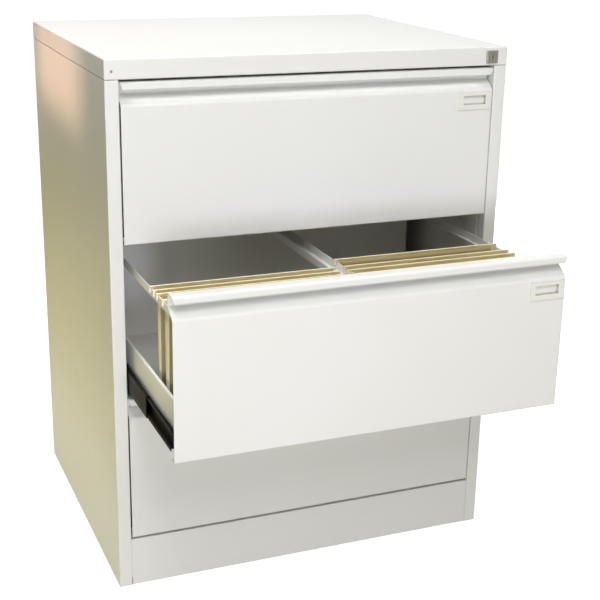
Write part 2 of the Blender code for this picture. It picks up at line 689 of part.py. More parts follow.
def centre_rail(name, drawer):
    """A channel along the middle, with one upright edge for each row of files."""
    low = RAIL_TOP - RAIL_HEIGHT
    corners = [
        (ROW_INNER, RAIL_TOP, 0),
        (ROW_INNER, low, FOLD_RADIUS),
        (-ROW_INNER, low, FOLD_RADIUS),
        (-ROW_INNER, RAIL_TOP, 0),
    ]
    folded_sheet(name, corners, "XZ", TRAY_FRONT, TRAY_BACK, RAIL_SHEET, PAINT, drawer)


def label_block(margin, front, back):
    """A box between two depths, wider than the label's window by a margin all round."""
    right = FRONT_HALF - LABEL_SIDE_INSET - WINDOW_FROM_RIGHT
    top = SHOULDER - LABEL_DROP - WINDOW_FROM_TOP
    low = (right - WINDOW_WIDTH - margin, front, top - WINDOW_HEIGHT - margin)
    return block(low, (right + margin, back, top + margin))


def label_holder(name, drawer):
    """A frame at the front's upper right, with a tub for the label that sits in a cut-out of the front."""
    right = FRONT_HALF - LABEL_SIDE_INSET
    top = SHOULDER - LABEL_DROP
    window_right = right - WINDOW_FROM_RIGHT
    window_top = top - WINDOW_FROM_TOP
    edge = rectangle(right - LABEL_WIDTH, top - LABEL_HEIGHT, right, top)
    window = rectangle(window_right - WINDOW_WIDTH, window_top - WINDOW_HEIGHT, window_right, window_top)
    holder = add_piece(name, plate([edge, window], -LABEL_FRONT, -SEAT_GAP), CREAM_PLASTIC, drawer)
    round_edges(holder, LABEL_EDGE, EDGE_STEPS)
    lip_back = WINDOW_LIP - LABEL_FRONT
    tub = label_block(WINDOW_UNDERCUT + TUB_WALL, lip_back + WINDOW_LIP / 2, TUB_BACK)
    shape_with(holder, "UNION", tub)
    shape_with(holder, "DIFFERENCE", label_block(WINDOW_UNDERCUT, lip_back, TUB_BACK - TUB_FLOOR))


def slide_member(name, corners, side, frame):
    """One member of a slide, from corners (in from the upright, up from the slide's middle)."""
    placed = [(u - SLIDE_FACE, v + SLIDE_RISE, SLIDE_CORNER) for u, v in corners]
    back = SLIDE_SETBACK + SLIDE_LENGTH
    folded_sheet(name, on_side(placed, side), "XZ", SLIDE_SETBACK, back, SLIDE_SHEET, BLACK_STEEL, frame)


def slide(name, hand, side, seat, travelling, drawer):
    """A three-member slide: a lipped channel, a lipped channel inside it, and a hat section inside that."""
    outer_half = SLIDE_HEIGHT / 2
    outer_reach = SLIDE_THICKNESS - SLIDE_MOUTH
    outer = [(outer_reach, SLIDE_LIP - outer_half), (outer_reach, -outer_half), (0, -outer_half)]
    outer += [(u, -v) for u, v in reversed(outer)]
    slide_member(f"{name}_slide_outer_{hand}", outer, side, seat)
    step = SLIDE_SHEET + RUN_GAP
    hat_half = outer_half - SLIDE_TRACK
    carrier_half = outer_half - step
    carrier_reach = outer_reach - step
    carrier = [(carrier_reach, -hat_half - RUN_GAP), (carrier_reach, -carrier_half), (step, -carrier_half)]
    carrier += [(u, -v) for u, v in reversed(carrier)]
    slide_member(f"{name}_slide_carrier_{hand}", carrier, side, travelling)
    brim = 2 * step + SLIDE_SHEET
    hat = [(brim, carrier_half - step), (brim, hat_half), (SLIDE_THICKNESS, hat_half)]
    hat += [(u, -v) for u, v in reversed(hat)]
    slide_member(f"{name}_slide_inner_{hand}", hat, side, drawer)


def hanger(side, place):
    """A file's hanger bar across its row at one distance behind the front, with a hook over each rail."""
    middle = side * (ROW_OUTER + ROW_INNER) / 2
    row_half = (ROW_OUTER - ROW_INNER) / 2
    top = RAIL_TOP + HANGER_ABOVE_RAIL
    shoulder = row_half - HANGER_END_GAP
    notch = row_half + RAIL_SHEET + HOOK_GAP
    tip = notch + HOOK_WIDTH
    half = [
        (shoulder, top - HANGER_HEIGHT),
        (shoulder, RAIL_TOP + SEAT_GAP),
        (notch, RAIL_TOP + SEAT_GAP),
        (notch, RAIL_TOP - HOOK_DROP),
        (tip, RAIL_TOP - HOOK_DROP),
        (tip, top - HOOK_CHAMFER),
        (tip - HOOK_CHAMFER, top),
    ]
    outline = [(middle + x, z) for x, z in half] + [(middle - x, z) for x, z in reversed(half)]
    return plate([outline], place - HANGER_THICKNESS / 2, place + HANGER_THICKNESS / 2)


def suspension_file(name, side, front_bar, rear_bar, drawer):
    """A card folded to a pocket that hangs to just above the tray's floor, on a bar along each top edge."""
    centre = (front_bar + rear_bar) / 2
    card_top = RAIL_TOP + HANGER_ABOVE_RAIL - HANGER_HEIGHT / 2
    card_bottom = FLOOR_TOP + CARD_FLOOR_GAP + CARD_THICKNESS
    corners = [
        (front_bar, card_top, 0),
        (centre - CARD_FOLD_WIDTH / 2, card_bottom, CARD_FOLD_RADIUS),
        (centre + CARD_FOLD_WIDTH / 2, card_bottom, CARD_FOLD_RADIUS),
        (rear_bar, card_top, 0),
    ]
    ends = sorted(side * end for end in (ROW_INNER + CARD_END_CLEARANCE, ROW_OUTER - CARD_END_CLEARANCE))
    pocket = folded_sheet(name, corners, "YZ", ends[0], ends[1], CARD_THICKNESS, MANILA, drawer)
    for place in (front_bar, rear_bar):
        shape_with(pocket, "UNION", hanger(side, place), "MANIFOLD")


def carcass(cabinet):
    """The fixed pieces, apart from the outer members of the slides."""
    side_panel("left_side_panel", -1, cabinet)
    side_panel("right_side_panel", 1, cabinet)
    back_panel(cabinet)
    base_panel(cabinet)
    plinth_front(cabinet)
    top_cover(cabinet)
    rear = SLIDE_SETBACK + SLIDE_LENGTH - UPRIGHT_WIDTH
    upright("front_upright_left", -1, UPRIGHT_FRONT, cabinet)
    upright("rear_upright_left", -1, rear, cabinet)
    guide_studs(upright("front_upright_right", 1, UPRIGHT_FRONT, cabinet))
    upright("rear_upright_right", 1, rear, cabinet)


def lock(cabinet):
    """The lock, whose cylinder turns on its own axis, and the bar that it lifts."""
    lock_housing(cabinet)
    turning = empty("lock_turn", (LOCK_X, 0, LOCK_Z), cabinet)
    lock_cylinder(turning)
    lock_cam(turning)
    locking_bar(empty("bar_lift", (0, 0, 0), cabinet))


def drawer_on_slides(name, bottom, pull, cabinet):
    """A drawer pulled out by some distance, with the middle members of its slides half as far."""
    seat = empty(f"{name}_slide_seat", (0, 0, bottom), cabinet)
    travelling = empty(f"{name}_slide_travel", (0, -pull / 2, bottom), cabinet)
    drawer = empty(f"{name}_drawer_travel", (0, -pull, bottom), cabinet)
    drawer_front(f"{name}_drawer_front", drawer)
    front_liner(f"{name}_front_liner", drawer)
    drawer_tray(f"{name}_drawer_tray", drawer)
    drawer_back(f"{name}_drawer_back", drawer)
    centre_rail(f"{name}_rail_centre", drawer)
    label_holder(f"{name}_label_holder", drawer)
    for hand, side in HANDS.items():
        side_rail(f"{name}_rail_{hand}", side, drawer)
        slide(name, hand, side, seat, travelling, drawer)
    return drawer


def main():
    """Build the cabinet with its middle drawer open."""
    cabinet = empty("cabinet", (0, -PLAN_CENTRE, 0))
    carcass(cabinet)
    lock(cabinet)
    drawers = {}
    for name, bottom in zip(DRAWER_NAMES, DRAWER_BOTTOMS):
        pull = REST_PULL if name == OPEN_DRAWER else 0
        drawers[name] = drawer_on_slides(name, bottom, pull, cabinet)
    for place, (front_bar, rear_bar) in FILE_BARS.items():
        side = HANDS[place.split("_")[0]]
        suspension_file(f"file_{place}", side, front_bar, rear_bar, drawers[OPEN_DRAWER])


main()
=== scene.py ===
"""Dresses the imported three-drawer suspension filing cabinet: finishes, hanging files, rivets, lock collar, studio."""

from math import cos, pi, radians, sin

import bmesh
import bpy
from bpy.props import FloatProperty, FloatVectorProperty, IntProperty, PointerProperty
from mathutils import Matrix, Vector


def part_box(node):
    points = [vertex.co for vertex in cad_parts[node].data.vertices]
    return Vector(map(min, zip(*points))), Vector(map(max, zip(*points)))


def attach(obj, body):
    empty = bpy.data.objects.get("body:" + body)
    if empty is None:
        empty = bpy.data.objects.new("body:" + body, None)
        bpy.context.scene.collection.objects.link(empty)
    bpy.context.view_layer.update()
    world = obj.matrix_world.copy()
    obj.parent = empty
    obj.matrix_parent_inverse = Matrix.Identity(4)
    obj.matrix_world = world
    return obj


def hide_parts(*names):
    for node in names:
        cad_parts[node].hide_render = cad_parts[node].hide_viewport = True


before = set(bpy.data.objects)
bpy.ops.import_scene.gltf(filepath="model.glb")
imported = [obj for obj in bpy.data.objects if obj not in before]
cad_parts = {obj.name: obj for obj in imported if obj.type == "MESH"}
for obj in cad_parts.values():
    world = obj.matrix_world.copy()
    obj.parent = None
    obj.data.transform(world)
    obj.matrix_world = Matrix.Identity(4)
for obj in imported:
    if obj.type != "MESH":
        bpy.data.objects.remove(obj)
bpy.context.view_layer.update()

bl_info = {
    "name": "Suspension Filing Cabinet",
    "version": (1, 0, 0),
    "blender": (4, 5, 0),
    "location": "3D View > Sidebar > Cabinet",
    "description": "Finishes, hanging files, rivets and studio for a three-drawer steel filing cabinet",
    "category": "Object",
}

MM = 0.001
DRAWERS = ("bottom", "middle", "top")
FILES = ("file_left_front", "file_left_rear", "file_right_front", "file_right_rear")
SLIDES = ("slide_outer", "slide_carrier", "slide_inner")
SMOOTH_ANGLE = radians(40)
PLEAT_ANGLE = radians(8)
RUB_AND_HIGHLIGHT_LAYER = "fold_rub_and_highlight"


def linear(code):
    """Turns an sRGB hex colour into linear red, green and blue."""
    parts = [int(code[at:at + 2], 16) / 255 for at in (1, 3, 5)]
    return tuple(part / 12.92 if part <= 0.04045 else ((part + 0.055) / 1.055) ** 2.4 for part in parts)


def opaque(colour):
    """Gives a colour the alpha that a shader's socket wants."""
    return (*colour, 1.0)


def colour_setting(name, description, code):
    """Makes a colour that the user can change, from its sRGB hex value."""
    return FloatVectorProperty(name=name, description=description, default=linear(code), subtype="COLOR",
                               size=3, min=0, max=1)


def length_setting(name, description, millimetres):
    """Makes a length that the user can change, given in millimetres."""
    return FloatProperty(name=name, description=description, default=millimetres * MM, unit="LENGTH",
                         subtype="DISTANCE", min=0, precision=5)


def power_setting(name, description, watts):
    """Makes a light's power that the user can change, given in watts."""
    return FloatProperty(name=name, description=description, default=watts, unit="POWER", min=0)


class CabinetFinishes(bpy.types.PropertyGroup):
    """Colours and grain of the cabinet's finishes."""
    paint: colour_setting("Paint", "Off-white powder coat on all sheet steel", "#E2E2DF")
    paint_drift: colour_setting("Paint Drift", "Tone the powder coat drifts towards over a panel", "#DCDCD6")
    # Painted highlight: this paler tone along folded edges stands for the light that their rounded bends catch.
    paint_edge_highlight: colour_setting("Paint Edge", "Tone of the thin coat along folded edges", "#F2F2EE")
    slide: colour_setting("Slide", "Black dip coat of the telescopic slides", "#0F0D0B")
    slide_rub: colour_setting("Slide Rub", "Greasy brown streaks that running leaves on the slides", "#30261B")
    zinc: colour_setting("Zinc", "Bright zinc plating of the locking bar and the cam", "#C3C4C2")
    lock: colour_setting("Lock", "Satin nickel on the die-cast lock face", "#87827A")
    plastic: colour_setting("Label Plastic", "Moulded label holders", "#E4E3DB")
    # Painted shade: this grey darkens the label holders' recesses, where little light reaches.
    recess_shade: colour_setting("Dust", "Grey dust that gathers in the label holders' recesses", "#ABA89F")
    card: colour_setting("Card", "Manila card of the suspension files", "#A08F64")
    # This pale tone serves both rubbed wear at the base's scores and a painted highlight along the card's top edges.
    card_rub_and_highlight: colour_setting("Card Fold", "Card where it is rubbed pale along its folds", "#C2B994")
    gusset: colour_setting("Gusset", "Paper that closes the ends of the card pockets", "#F4F1E2")
    bar: colour_setting("Hanger Bar", "Straw-coloured lacquer on the sides of the hanger bars", "#DCCC9E")
    bar_streak: colour_setting("Bar Streak", "Deeper tone where the lacquer ran thicker", "#BCA972")
    # Painted highlight: the bars' upward faces are paler, standing for the light from above on their tops.
    bar_top_highlight: colour_setting("Bar Rub", "Pale tone along the bars' tops, where fingers rub the lacquer thin", "#F0E6BC")
    cap: colour_setting("Hook Cap", "Moulded caps on the bars' hooks", "#E2DAC2")
    peel: length_setting("Orange Peel", "Width of the powder coat's ripples, drawn coarser than real to show", 7)
    panel_wave: length_setting("Panel Wave", "Width of the slow waves in the large sheets", 260)


class FileSizes(bpy.types.PropertyGroup):
    """Sizes of the hanging files."""
    card_width: length_setting("Card Width", "Width of the card along its bars", 315)
    card_thickness: length_setting("Card Thickness", "Thickness of the manila card", 0.5)
    lap: length_setting("Lap", "How far the card reaches up behind the bar", 7)
    base_width: length_setting("Base Width", "Width of the scored base of the pocket", 14)
    base_rise: length_setting("Base Rise", "Height of the base's sloping sides", 5)
    bow: length_setting("Bow", "How far the pocket's walls belly out", 2.2)
    ripple: length_setting("Ripple", "Depth of the ripples in a used card", 0.7)
    gusset_fold: length_setting("Gusset Fold", "How far the pleat of a pocket's end is tucked in", 2.2)
    gusset_inset: length_setting("Gusset Inset", "From the card's end to the glued edges of its gusset", 0.3)
    gusset_thickness: length_setting("Gusset Thickness", "Thickness of the gusset's paper", 0.3)
    bar_height: length_setting("Bar Height", "Height of a hanger bar", 12.5)
    bar_thickness: length_setting("Bar Thickness", "Thickness of a hanger bar", 3.2)
    bar_edge: length_setting("Bar Edge", "Radius of the bar's rolled edges", 0.9)
    cap_wall: length_setting("Cap Wall", "Thickness of a hook's moulded cap", 0.4)
    hook_drop: length_setting("Hook Drop", "How far a hook's tip hangs below the bar's top", 10.5)
    hook_roof: length_setting("Hook Roof", "Height of steel above the rail in a hook", 4.5)
    hook_shoulder: length_setting("Hook Shoulder", "From the row's middle to the bar's shoulder", 164)
    hook_notch: length_setting("Hook Notch", "From the row's middle to the notch's far side", 167.3)
    hook_tip: length_setting("Hook Tip", "From the row's middle to the hook's tip", 170.3)
    hook_corner: length_setting("Hook Corner", "How much is cut off the hook's upper corner", 1.5)


class RivetSizes(bpy.types.PropertyGroup):
    """Sizes and places of the rivets on the slides and in the cover."""
    head: length_setting("Head", "Radius of a rivet's dome", 3.2)
    flange: length_setting("Flange", "Radius of the flange under the dome", 4.4)
    rise: length_setting("Rise", "Height of a rivet's head", 1.5)
    seat: length_setting("Seat", "From the cabinet's middle to the face that the rivets sit on", 351)
    count: IntProperty(name="Count", description="Rivets on each slide", default=4, min=2, max=12)
    cover_inset: length_setting("Cover Inset", "From the cover's left end to the middle of its rivet", 12.5)
    cover_drop: length_setting("Cover Drop", "From the cover's top to the middle of its rivet", 20.5)
    cover_radius: length_setting("Cover Rivet", "Radius of the rivet in the cover's front", 2.4)


class LockSizes(bpy.types.PropertyGroup):
    """Sizes of the collar round the lock's plug."""
    bore: length_setting("Collar Bore", "Inside radius of the collar", 8.0)
    rim: length_setting("Collar Rim", "Outside radius of the collar", 10.2)
    rise: length_setting("Collar Rise", "How far the collar stands off the lock's plate", 0.7)
    seat: length_setting("Collar Seat", "How far the collar is let into the lock's plate", 0.2)


class StudioSettings(bpy.types.PropertyGroup):
    """Camera and light of the plain white studio."""
    camera_place: FloatVectorProperty(name="Camera Place", description="Where the camera stands", size=3,
                                      subtype="TRANSLATION", unit="LENGTH", default=(-0.86352, -2.18769, 1.27230))
    camera_turn: FloatVectorProperty(name="Camera Turn", description="The camera's X, Y and Z turns", size=3,
                                     subtype="EULER", unit="ROTATION",
                                     default=[radians(turn) for turn in (71.4868, -1.0583, -22.1643)])
    lens: FloatProperty(name="Lens", description="Focal length on a 36 mm sensor", default=73.47, unit="CAMERA")
    main_power: power_setting("Main Panel", "Power of the panel high in front", 58)
    high_power: power_setting("High Panel", "Power of the steeper panel in front", 21.6)
    ceiling_power: power_setting("Ceiling Panel", "Power of the panel overhead", 42)
    fill_power: power_setting("Fill Panel", "Power of the low panel behind the camera", 65)
    left_power: power_setting("Left Panel", "Power of the low panel at the front left", 19.5)
    low_power: power_setting("Low Panel", "Power of the small panel at the left side's foot", 1.18)
    rear_power: power_setting("Rear Panel", "Power of the panel behind the cabinet, at its right", 58)
    grip_power: power_setting("Grip Panel", "Power of the strip light on the top drawer's grip", 0.0095)
    glow_power: power_setting("Glow Spots", "Power of each warm spot on the left side's top", 358)
    rim_power: power_setting("Rim Spots", "Power of each spot on the open drawer's left edge", 20)
    ambient: FloatProperty(name="Ambient", description="Strength of the light from behind and from the right",
                           default=0.3)
    main_colour: colour_setting("Main Colour", "Light of the panels in front and overhead", "#FFFFFF")
    fill_colour: colour_setting("Fill Colour", "Light of the low panel behind the camera", "#F0F0FF")
    left_colour: colour_setting("Left Colour", "Light of the low panel at the front left", "#F8FFF6")
    low_colour: colour_setting("Low Colour", "Yellowish light on the left side's foot", "#FFF697")
    glow_colour: colour_setting("Glow Colour", "Warm light on the left side's top", "#FFC7AA")
    ambient_colour: colour_setting("Ambient Colour", "Light from behind and from the right", "#FFFFFF")
    floor_colour: colour_setting("Floor Colour", "What the floor sends back on the cabinet", "#A0986E")
    board_colour: colour_setting("Board Colour", "Matt board that leans at the left, out of the picture", "#9C9160")


def add_node(tree, kind, links=None, values=None, **settings):
    """Adds a node with its settings and its sockets' values, and links other nodes' outputs to its inputs."""
    node = tree.nodes.new(kind)
    for name, setting in settings.items():
        setattr(node, name, setting)
    for socket, value in (values or {}).items():
        node.inputs[socket].default_value = value
    for socket, source in (links or {}).items():
        tree.links.new(source, node.inputs[socket])
    return node


def new_material(name, colour, roughness, metallic=0.0):
    """Starts a material, and gives its tree, its shader and the place on the object that its patterns read."""
    material = bpy.data.materials.new(name)
    material.use_nodes = True
    material.diffuse_color = opaque(colour)
    tree = material.node_tree
    shader = tree.nodes["Principled BSDF"]
    shader.inputs["Base Color"].default_value = opaque(colour)
    shader.inputs["Roughness"].default_value = roughness
    shader.inputs["Metallic"].default_value = metallic
    place = add_node(tree, "ShaderNodeTexCoord").outputs["Object"]
    return material, tree, shader, place


def ranged(tree, value, given, wanted):
    """Maps a value from the range that it is given in to the wanted one, and stops at that one's ends."""
    return add_node(tree, "ShaderNodeMapRange", {"Value": value},
                    {"From Min": given[0], "From Max": given[1],
                     "To Min": wanted[0], "To Max": wanted[1]}).outputs["Result"]


def shade(colour, factor):
    """Makes a colour darker or lighter."""
    return [min(1, part * factor) for part in colour]


def blend(tree, share, first, second):
    """Mixes two tones by a share from 0 to 1; each is a colour or another node's output."""
    links, values = {0: share}, {}
    for socket, tone in ((6, first), (7, second)):
        if isinstance(tone, bpy.types.NodeSocket):
            links[socket] = tone
        else:
            values[socket] = opaque(tone)
    return add_node(tree, "ShaderNodeMix", links, values, data_type="RGBA").outputs[2]


def noise(tree, place, width, detail, slant=0.0):
    """Adds noise with patches of a width; a width for each axis draws them out, and a slant turns them about Y."""
    scale = 1.0
    if isinstance(width, tuple):
        place = add_node(tree, "ShaderNodeMapping", {"Vector": place},
                         {"Rotation": (0, slant, 0), "Scale": [1 / size for size in width]}).outputs["Vector"]
    else:
        scale = 1 / width
    return add_node(tree, "ShaderNodeTexNoise", {"Vector": place}, {"Scale": scale, "Detail": detail}).outputs["Fac"]


def bump(tree, height, strength, depth, normal=None):
    """Raises a pattern off the surface, or off another relief."""
    links = {"Height": height, "Normal": normal} if normal else {"Height": height}
    return add_node(tree, "ShaderNodeBump", links, {"Strength": strength, "Distance": depth}).outputs["Normal"]


def connect(tree, shader, colour, roughness=None, normal=None):
    """Links the patterns to the shader."""
    for socket, source in (("Base Color", colour), ("Roughness", roughness), ("Normal", normal)):
        if source:
            tree.links.new(source, shader.inputs[socket])


def powder_coated_steel(finishes):
    """Satin powder coat, sprayed and baked: a soft sheen broken by orange peel, with a painted highlight of paler tone
    along its folds.
    """
    material, tree, shader, place = new_material("powder_coated_steel", finishes.paint, roughness=0.4)
    drift = noise(tree, place, width=450 * MM, detail=3.0)
    tone = blend(tree, ranged(tree, drift, (0.35, 0.7), (0.0, 0.6)), finishes.paint, finishes.paint_drift)
    # A bent corner's rounded normal differs from the flat one beside it: that difference marks the folded edges.
    rounded = add_node(tree, "ShaderNodeBevel", values={"Radius": 2.5 * MM}, samples=4).outputs["Normal"]
    flat = add_node(tree, "ShaderNodeNewGeometry").outputs["True Normal"]
    turn = add_node(tree, "ShaderNodeVectorMath", {0: rounded, 1: flat}, operation="DOT_PRODUCT").outputs["Value"]
    # Painted highlight: the folded edges are blended towards the paler edge tone.
    coat = blend(tree, ranged(tree, turn, (0.98, 0.75), (0.0, 0.8)), tone, finishes.paint_edge_highlight)
    peel = noise(tree, place, width=finishes.peel, detail=1.5)
    sheen = ranged(tree, peel, (0.3, 0.7), (0.34, 0.46))
    wave = noise(tree, place, width=finishes.panel_wave, detail=0.0)
    waved = bump(tree, wave, strength=0.5, depth=2.0 * MM, normal=rounded)
    peeled = bump(tree, peel, strength=0.25, depth=0.15 * MM, normal=waved)
    connect(tree, shader, coat, sheen, peeled)
    shader.inputs["IOR"].default_value = 1.5
    return material


def dipped_slide_steel(finishes):
    """Rolled slide steel, dip-coated black and nearly matt: running balls leave long greasy brown streaks on it."""
    material, tree, shader, place = new_material("dipped_slide_steel", finishes.slide, roughness=0.42)
    streaks = noise(tree, place, width=(6 * MM, 300 * MM, 6 * MM), detail=4.0)
    tone = blend(tree, ranged(tree, streaks, (0.5, 0.72), (0.0, 0.7)), finishes.slide, finishes.slide_rub)
    gloss = ranged(tree, streaks, (0.3, 0.7), (0.52, 0.3))
    connect(tree, shader, tone, gloss, bump(tree, streaks, strength=0.2, depth=0.1 * MM))
    shader.inputs["IOR"].default_value = 1.3
    shader.inputs["Specular IOR Level"].default_value = 0.12
    return material


def zinc_plated_steel(finishes):
    """Pressed steel with bright zinc plating: a cool metal whose crystals give small patches of light and dark."""
    material, tree, shader, place = new_material("zinc_plated_steel", finishes.zinc, roughness=0.32, metallic=1.0)
    crystals = add_node(tree, "ShaderNodeTexVoronoi", {"Vector": place}, {"Scale": 1 / (9 * MM)}).outputs["Distance"]
    tone = blend(tree, crystals, finishes.zinc, shade(finishes.zinc, 0.72))
    connect(tree, shader, tone, ranged(tree, crystals, (0.0, 0.8), (0.26, 0.42)))
    return material


def nickelled_die_casting(finishes):
    """Zinc die casting, brushed and nickelled satin: a mid-grey metal with a fine grain slanting across the face."""
    material, tree, shader, place = new_material("nickelled_die_casting", finishes.lock, roughness=0.38, metallic=1.0)
    # The brush marks are 0.1 mm apart; they are drawn 0.8 mm apart so that they show.
    grain = noise(tree, place, width=(0.8 * MM, 10 * MM, 10 * MM), detail=3.0, slant=radians(45))
    tone = blend(tree, grain, shade(finishes.lock, 0.75), shade(finishes.lock, 1.25))
    connect(tree, shader, tone, normal=bump(tree, grain, strength=0.3, depth=0.05 * MM))
    return material


def moulded_polystyrene(finishes):
    """Injection-moulded polystyrene in the paint's colour: even and a little glossier, with painted shade where it is
    sunk in.
    """
    material, tree, shader, place = new_material("moulded_polystyrene", finishes.plastic, roughness=0.36)
    # The mould's grain is 0.3 mm; it is drawn at 1.5 mm so that it shows.
    grain = noise(tree, place, width=1.5 * MM, detail=2.0)
    tone = blend(tree, grain, finishes.plastic, shade(finishes.plastic, 0.93))
    # The walls of the label's tub face each other, so little open sky is left to them: that marks where shade is
    # painted in.
    open_sky = add_node(tree, "ShaderNodeAmbientOcclusion", values={"Distance": 6 * MM}, samples=8, only_local=True)
    recess_shade_share = ranged(tree, open_sky.outputs["AO"], (0.85, 0.45), (0.0, 1.0))
    relief = bump(tree, grain, strength=0.2, depth=0.05 * MM)
    # Painted shade: the recess walls are blended towards the grey shade tone.
    connect(tree, shader, blend(tree, recess_shade_share, tone, finishes.recess_shade), normal=relief)
    shader.inputs["IOR"].default_value = 1.55
    return material


def calendered_manila(finishes):
    """Calendered manila card: matt buff board with fibre flecks, rubbed pale along its scores, and with a painted
    highlight along its top edges.
    """
    material, tree, shader, place = new_material("calendered_manila", finishes.card, roughness=0.85)
    # Fibres are 0.05 mm wide; they are drawn 1.2 mm wide and 9 mm long so that they show.
    fibres = noise(tree, place, width=(9 * MM, 3 * MM, 1.2 * MM), detail=4.0)
    flecked = blend(tree, fibres, shade(finishes.card, 0.86), shade(finishes.card, 1.1))
    # The layer holds rubbed wear at the base's scores and a painted highlight along the top edges.
    rub_and_highlight_mask = add_node(tree, "ShaderNodeAttribute", attribute_name=RUB_AND_HIGHLIGHT_LAYER).outputs["Fac"]
    relief = bump(tree, fibres, strength=0.25, depth=0.1 * MM)
    connect(tree, shader, blend(tree, rub_and_highlight_mask, flecked, finishes.card_rub_and_highlight), normal=relief)
    return material


def gusset_paper(finishes):
    """Cream wrapping paper of the pockets' ends: matt and cloudy, greyer where hands and dust have been."""
    material, tree, shader, place = new_material("gusset_paper", finishes.gusset, roughness=0.9)
    clouds = noise(tree, place, width=20 * MM, detail=4.0)
    tone = blend(tree, clouds, finishes.gusset, shade(finishes.gusset, 0.86))
    connect(tree, shader, tone, normal=bump(tree, clouds, strength=0.2, depth=0.3 * MM))
    return material


def lacquered_bar_steel(finishes):
    """Rolled strip steel, stoved with straw-coloured lacquer: deeper in streaks, with a painted highlight on its
    upward-facing tops.
    """
    material, tree, shader, place = new_material("lacquered_bar_steel", finishes.bar, roughness=0.38)
    streaks = noise(tree, place, width=(50 * MM, 4 * MM, 4 * MM), detail=3.0)
    tone = blend(tree, ranged(tree, streaks, (0.42, 0.72), (0.0, 0.8)), finishes.bar, finishes.bar_streak)
    # Painted highlight: faces that turn upwards are blended towards the pale top tone.
    facing = add_node(tree, "ShaderNodeSeparateXYZ", {0: add_node(tree, "ShaderNodeNewGeometry").outputs["Normal"]})
    upward = ranged(tree, facing.outputs["Z"], (0.15, 0.7), (0.0, 1.0))
    gloss = ranged(tree, streaks, (0.3, 0.7), (0.34, 0.48))
    connect(tree, shader, blend(tree, upward, tone, finishes.bar_top_highlight), gloss)
    return material


def moulded_hook_nylon(finishes):
    """Moulded nylon of the hook caps: cream and waxy, with faint flow clouds."""
    material, tree, shader, place = new_material("moulded_hook_nylon", finishes.cap, roughness=0.42)
    clouds = noise(tree, place, width=4 * MM, detail=2.0)
    connect(tree, shader, blend(tree, clouds, finishes.cap, shade(finishes.cap, 0.88)))
    shader.inputs["IOR"].default_value = 1.53
    return material


def finish_named(name, maker):
    """Gives a finish, making it the first time that it is asked for."""
    return bpy.data.materials.get(name) or maker(bpy.context.scene.cabinet_finishes)


def new_piece(name, shape, material, sharp_from=SMOOTH_ANGLE):
    """Turns a bmesh into a piece at the origin, smooth but for its sharp edges, with one finish."""
    mesh = bpy.data.meshes.new(name)
    shape.to_mesh(mesh)
    shape.free()
    mesh.shade_smooth()
    mesh.set_sharp_from_angle(angle=sharp_from)
    mesh.materials.append(material)
    piece = bpy.data.objects.new(name, mesh)
    bpy.context.scene.collection.objects.link(piece)
    return piece


def thicken(piece, name, thickness):
    """Gives a folded sheet its thickness, half of it to each side."""
    wall = piece.modifiers.new(name, "SOLIDIFY")
    wall.thickness = thickness
    wall.offset = 0


class CABINET_OT_finish_steel(bpy.types.Operator):
    """Give each node of the frame its real finish"""
    bl_idname = "cabinet.finish_steel"
    bl_label = "Finish the Cabinet"

    def execute(self, context):
        paint = finish_named("powder_coated_steel", powder_coated_steel)
        slide = finish_named("dipped_slide_steel", dipped_slide_steel)
        zinc = finish_named("zinc_plated_steel", zinc_plated_steel)
        nickel = finish_named("nickelled_die_casting", nickelled_die_casting)
        others = {"locking_bar": zinc, "lock_cam": zinc, "lock_cylinder": nickel, "lock_housing": nickel}
        plastic = finish_named("moulded_polystyrene", moulded_polystyrene)
        for drawer in DRAWERS:
            others[f"{drawer}_label_holder"] = plastic
            for member in SLIDES:
                others[f"{drawer}_{member}_left"] = slide
                others[f"{drawer}_{member}_right"] = slide
        missing = sorted(set(others) - set(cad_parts))
        if missing:
            raise RuntimeError(f"the frame has no nodes {missing}")
        for name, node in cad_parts.items():
            for holder in node.material_slots:
                holder.material = others.get(name, paint)
        return {"FINISHED"}


WALL_ROWS = 18
CARD_COLUMNS = 30
# How pale the card is drawn at its top edges, as a painted highlight, and how pale it is rubbed at the base's scores
# and under the base; the score's rub fades fast.
TOP_HIGHLIGHT, SCORE_RUB, BASE_RUB, SCORE_FADE = 0.3, 0.7, 0.8, 12
# How much less a pocket bellies out at its ends.
END_FLATNESS = 0.5
# Two ripples in a used card: how fast each runs along it and back or up, and the second one's share of the depth.
RIPPLE_ALONG, RIPPLE_BACK = 9, 40
CROSS_ALONG, CROSS_UP, CROSS_DEPTH = 4.3, 110, 0.6


def card_section(bars, top, floor, sizes):
    """The card across the file, as (y, z, give, rub): from the front bar, down round the base, up to the rear bar."""
    reach = (sizes.bar_thickness + sizes.card_thickness) / 2
    middle = sum(bars) / 2
    halves = []
    for side, bar in zip((-1, 1), bars):
        wall_top = Vector((bar - side * reach, top - sizes.bar_height + sizes.lap))
        wall_foot = Vector((middle + side * sizes.base_width / 2, floor + sizes.base_rise))
        # Painted highlight: the card's top edge starts paler.
        line = [(wall_top.x, wall_top.y, 0.0, TOP_HIGHLIGHT)]
        wall_top.y -= sizes.lap
        for row in range(WALL_ROWS + 1):
            down = row / WALL_ROWS
            spot = wall_top.lerp(wall_foot, down)
            line.append((spot.x, spot.y, side * sin(pi * down), SCORE_RUB * down ** SCORE_FADE))
        line.append((middle + side * sizes.base_width / 4, floor, 0.0, BASE_RUB))
        halves.append(line)
    return halves[0] + halves[1][::-1]


def file_section(low, high, sizes):
    """The section of the card in the file that fills a box."""
    inset = sizes.bar_thickness / 2
    return card_section((low[1] + inset, high[1] - inset), high[2], low[2] + sizes.card_thickness / 2, sizes)


